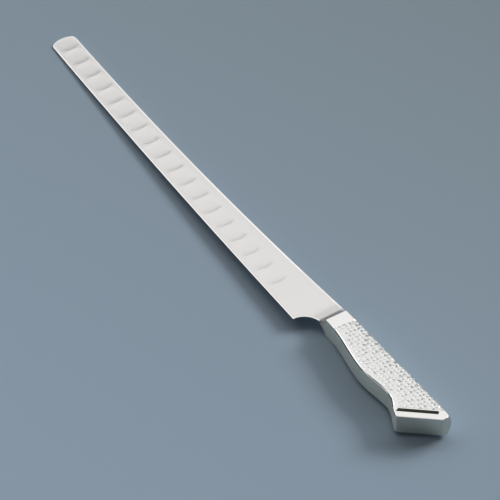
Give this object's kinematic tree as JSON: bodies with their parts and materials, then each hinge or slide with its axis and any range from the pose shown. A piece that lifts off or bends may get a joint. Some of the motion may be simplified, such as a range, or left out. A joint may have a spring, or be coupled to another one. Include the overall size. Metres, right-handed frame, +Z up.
{
  "type": "salmon slicer",
  "caption": "Long narrow slicing knife for salmon, with a dimpled blade, a bowed square tip, a round choil and a hollow hammered steel handle with a slanted butt.",
  "frame": {"origin": "centre of the knife's outline on the table that it lies on", "axes": "+X along the handle from the tip towards the butt, +Y across the blade from the cutting edge towards the spine, +Z up out of the left face"},
  "size_m": [0.4386, 0.0304, 0.0162],
  "materials": {
    "blade_steel": "fine satin polish on the ground faces, mirror bright in the dimples and on the cutting bevel",
    "handle_steel": "bright hammered relief on the grip, smooth polish on the facets, side band and end"
  },
  "bodies": {
    "root": {"blade": "blade_steel", "handle_shell_left": "handle_steel", "handle_shell_right": "handle_steel"}
  },
  "joints": []
}
